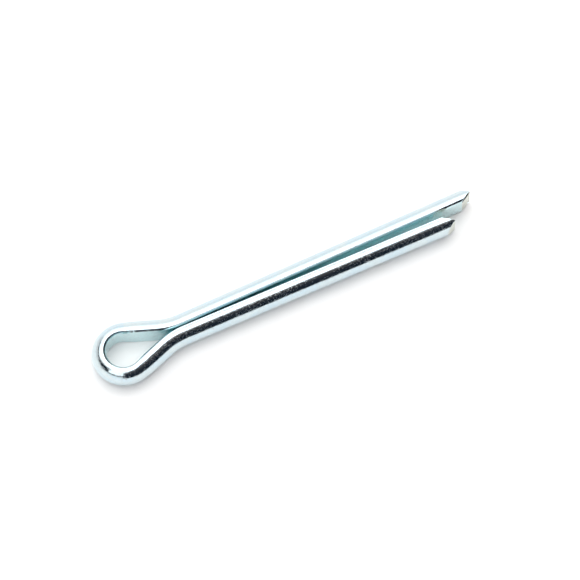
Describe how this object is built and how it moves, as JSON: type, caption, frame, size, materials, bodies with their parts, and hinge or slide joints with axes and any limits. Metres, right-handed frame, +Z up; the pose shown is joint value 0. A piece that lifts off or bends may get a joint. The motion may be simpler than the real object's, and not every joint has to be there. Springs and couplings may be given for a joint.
{
  "type": "cotter pin",
  "caption": "Half-round wire folded into a round eye and a split shank with unequal pointed legs; it goes through a cross hole and its legs are bent apart to lock a nut or shaft.",
  "frame": {"origin": "middle of the pin's plan box, on the surface that the pin lies on", "axes": "+X along the shank from the eye to the points, +Y towards the long leg's side, +Z up through the eye"},
  "size_m": [0.0622, 0.0096, 0.0045],
  "materials": {
    "zinc_plate": "bright zinc plate over drawn steel wire, with fine draw lines and small handling marks"
  },
  "bodies": {
    "root": {"cotter_pin": "zinc_plate"}
  },
  "joints": []
}
